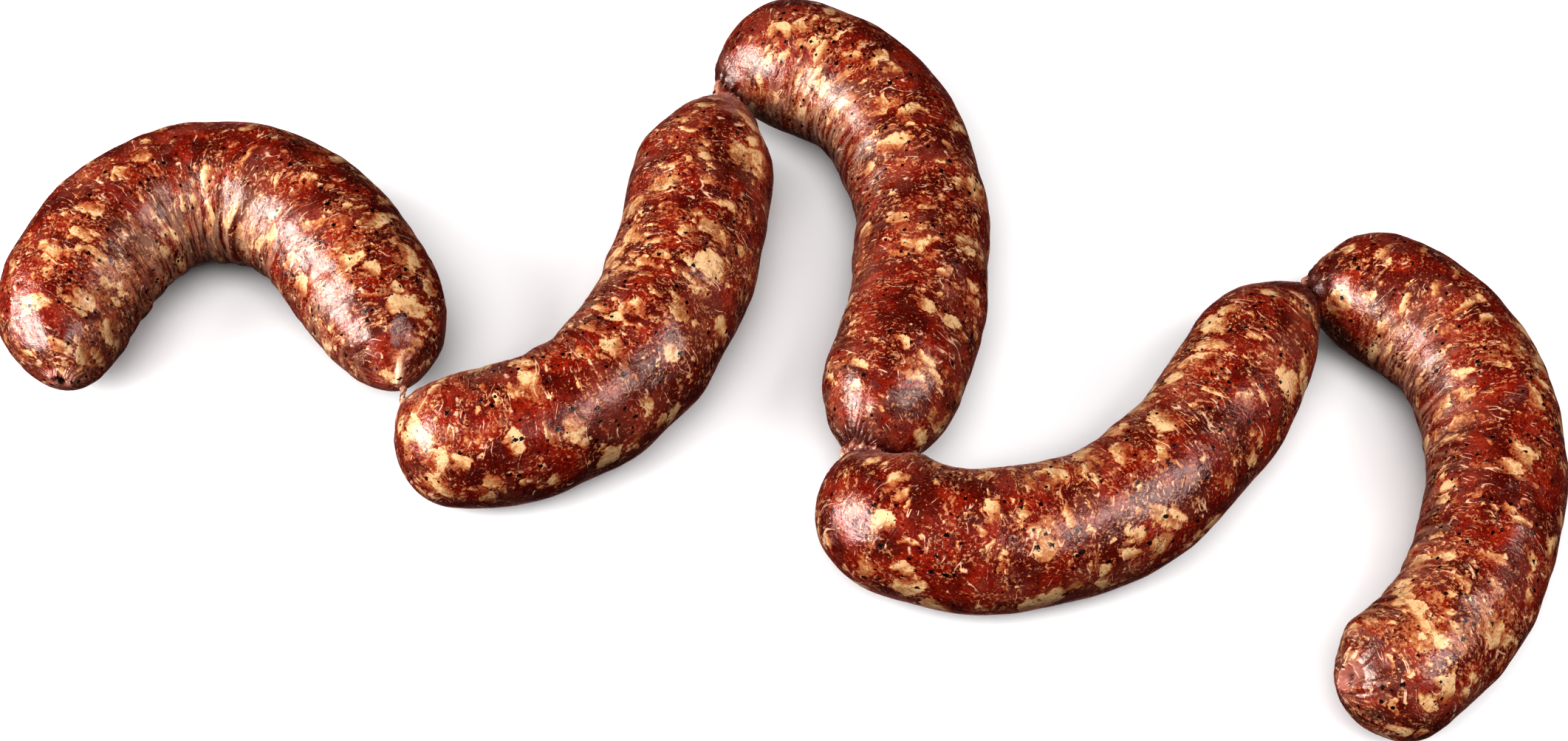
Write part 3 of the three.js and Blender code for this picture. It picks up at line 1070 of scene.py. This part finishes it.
def moist_skin(m, look, p, crack):
    """The casing's shader: soft bumps under a thin wet coat that glints, and a faint sheen."""
    height = m.math("ADD", m.math("MULTIPLY", p.lump, LUMP_HEIGHT), p.grain)
    height = m.math("SUBTRACT", height, m.math("MULTIPLY", crack, CRACK_DEPTH))
    glint = m.noise(p.ragged, *GLINT)["Fac"]
    glint = m.math("ADD", glint, m.math("MULTIPLY", p.grain, GLINT_GRAIN))
    inputs = {
        "Base Color": look,
        "Roughness": m.band(p.lump, *ROUGHNESS),
        "Normal": m.bump(BUMP_STRENGTH, height),
        "Specular IOR Level": SPECULAR,
        "Coat Weight": COAT,
        "Coat Roughness": COAT_ROUGHNESS,
        "Coat Normal": m.bump(GLINT_STRENGTH, glint),
        "Sheen Weight": SHEEN_WEIGHT,
        "Sheen Roughness": SHEEN_ROUGHNESS,
        "Sheen Tint": SHEEN,
    }
    return m.add("BsdfPrincipled", inputs).outputs[0]


def filling_material(name, fat_share):
    """Moist casing over coarse red meat with pieces of fat and specks of pepper."""
    m = Shader(name)
    p = shared_patterns(m)
    zone = m.noise(p.bent, *ZONE)["Fac"]
    zone = m.math("ADD", zone, m.math("MULTIPLY", p.rich, RICH_ZONE))
    tone = m.noise(p.ragged, *TONE)["Fac"]
    crack = m.math("MULTIPLY", m.line(tone, CRACKS_AT, CRACK_LINE), m.band(p.lump, *CRACKED_PARTS))
    look = lean_meat(m, p, tone)
    look = add_crumbs(m, look, p, zone)
    look = add_fat(m, look, fat_thickness(m, p, zone, fat_share))
    look = m.mix(m.math("MULTIPLY", crack, CRACK_STRENGTH), look, MAROON)
    look = add_fibres(m, look, p)
    look = add_bare_casing(m, look, p)
    look = add_specks(m, look, p)
    look = add_painted_shade(m, look, p)
    m.add("OutputMaterial", {"Surface": moist_skin(m, look, p, crack)})
    return m.material


# The table, in metres: half its side, how close its grain is, its two tones and its roughness.
TABLE_HALF = 4.0
TABLE_GRAIN = 6.0
TABLE_TONES = ((0.76, 0.8, 0.84, 1), (0.79, 0.83, 0.87, 1))
TABLE_ROUGHNESS = 0.7


def floor():
    """A pale table that fills the view, and that the moist casing doesn't mirror."""
    m = Shader("table")
    place = m.add("TexCoord", {}).outputs["Object"]
    grain = m.add("TexNoise", {"Vector": place, "Scale": TABLE_GRAIN}).outputs["Fac"]
    inputs = {"Base Color": m.mix(grain, *TABLE_TONES), "Roughness": TABLE_ROUGHNESS}
    m.add("OutputMaterial", {"Surface": m.add("BsdfPrincipled", inputs).outputs[0]})
    mesh = bpy.data.meshes.new("table")
    corners = [(x * TABLE_HALF, y * TABLE_HALF, 0) for x, y in ((-1, -1), (1, -1), (1, 1), (-1, 1))]
    mesh.from_pydata(corners, [], [(0, 1, 2, 3)])
    mesh.materials.append(m.material)
    table = bpy.data.objects.new("table", mesh)
    bpy.context.scene.collection.objects.link(table)
    table.visible_glossy = False
    table.visible_diffuse = False


# The lamps. Each softbox has a direction from the string, and a distance, width and height in
# metres and a power in watts. The ceiling is a broad sun, with its angle in degrees.
LAMP_COLOUR = (1.0, 0.93, 0.89)
SOFTBOXES = {
    "left_softbox": ((-0.9, -0.18, 0.42), 1.0, 0.84, 0.56, 14),
    "right_softbox": ((0.62, -0.31, 0.72), 1.1, 0.8, 0.6, 6),
}
CEILING_DIRECTION = (-0.1, -0.35, 0.93)
CEILING_DISTANCE = 2.0
CEILING_STRENGTH = 2.3
CEILING_ANGLE = 50

# The strength of the surroundings: as they light the string, and as the camera sees them.
SURROUNDINGS_LIGHT = 0.02
SURROUNDINGS_SEEN = 0.75


def place_lamp(name, kind, direction, distance, energy):
    """A lamp that faces the string from a direction."""
    lamp = bpy.data.lights.new(name, kind)
    lamp.energy = energy
    lamp.color = LAMP_COLOUR
    holder = bpy.data.objects.new(name, lamp)
    holder.location = Vector(direction).normalized() * distance
    holder.rotation_mode = "QUATERNION"
    holder.rotation_quaternion = Vector(direction).to_track_quat("Z", "Y")
    bpy.context.scene.collection.objects.link(holder)
    return holder


def lamps():
    """A broad low softbox on the left, a weaker one on the right, and soft light from above."""
    for name, (direction, distance, width, height, power) in SOFTBOXES.items():
        lamp = place_lamp(name, "AREA", direction, distance, power).data
        lamp.shape = "RECTANGLE"
        lamp.size = width
        lamp.size_y = height
    ceiling = place_lamp("ceiling", "SUN", CEILING_DIRECTION, CEILING_DISTANCE, CEILING_STRENGTH)
    ceiling.data.angle = math.radians(CEILING_ANGLE)
    ceiling.visible_glossy = False


def surroundings():
    """Pale surroundings that hardly light the string, and a view with the photo's deep darks."""
    world = bpy.data.worlds.new("surroundings")
    world.use_nodes = True
    tree = world.node_tree
    seen = tree.nodes.new("ShaderNodeLightPath").outputs["Is Camera Ray"]
    strength = tree.nodes.new("ShaderNodeMapRange")
    strength.inputs["To Min"].default_value = SURROUNDINGS_LIGHT
    strength.inputs["To Max"].default_value = SURROUNDINGS_SEEN
    tree.links.new(seen, strength.inputs["Value"])
    tree.links.new(strength.outputs[0], tree.nodes["Background"].inputs["Strength"])
    tree.nodes["Background"].inputs["Color"].default_value = (1, 1, 1, 1)
    bpy.context.scene.world = world
    bpy.context.scene.view_settings.view_transform = "Standard"
    bpy.context.scene.view_settings.look = "High Contrast"


def camera():
    """The photograph's camera: from the front, looking steeply down."""
    lens = bpy.data.cameras.new("camera")
    lens.sensor_width = CAMERA_SENSOR
    lens.lens = CAMERA_LENS
    lens.clip_start = CAMERA_NEAREST
    lens.clip_end = CAMERA_FURTHEST
    holder = bpy.data.objects.new("camera", lens)
    height = math.radians(CAMERA_ELEVATION)
    back = Vector((0, -math.cos(height), math.sin(height)))
    holder.location = (Vector(CAMERA_AIM) + back * CAMERA_DISTANCE) * MM
    holder.rotation_mode = "QUATERNION"
    holder.rotation_quaternion = back.to_track_quat("Z", "Y")
    bpy.context.scene.collection.objects.link(holder)
    bpy.context.scene.camera = holder


def sausage_string():
    """The five links and the four twists between them."""
    links = [link_surface(link, ENDS[i], i) for i, link in enumerate(LINKS)]
    twists = [twist_surface(twist, i) for i, twist in enumerate(TWISTS)]
    links, twists = join_in_fillets(links, twists)
    link_skin = filling_material("filled_casing", LINK_FAT_SHARE)
    twist_skin = filling_material("gathered_casing", TWIST_FAT_SHARE)
    for i, surface in enumerate(links):
        make_piece(f"link_{i + 1}", surface, link_skin)
    for i, surface in enumerate(twists):
        make_piece(f"twist_{i + 1}", surface, twist_skin)


camera()
sausage_string()
floor()
lamps()
surroundings()
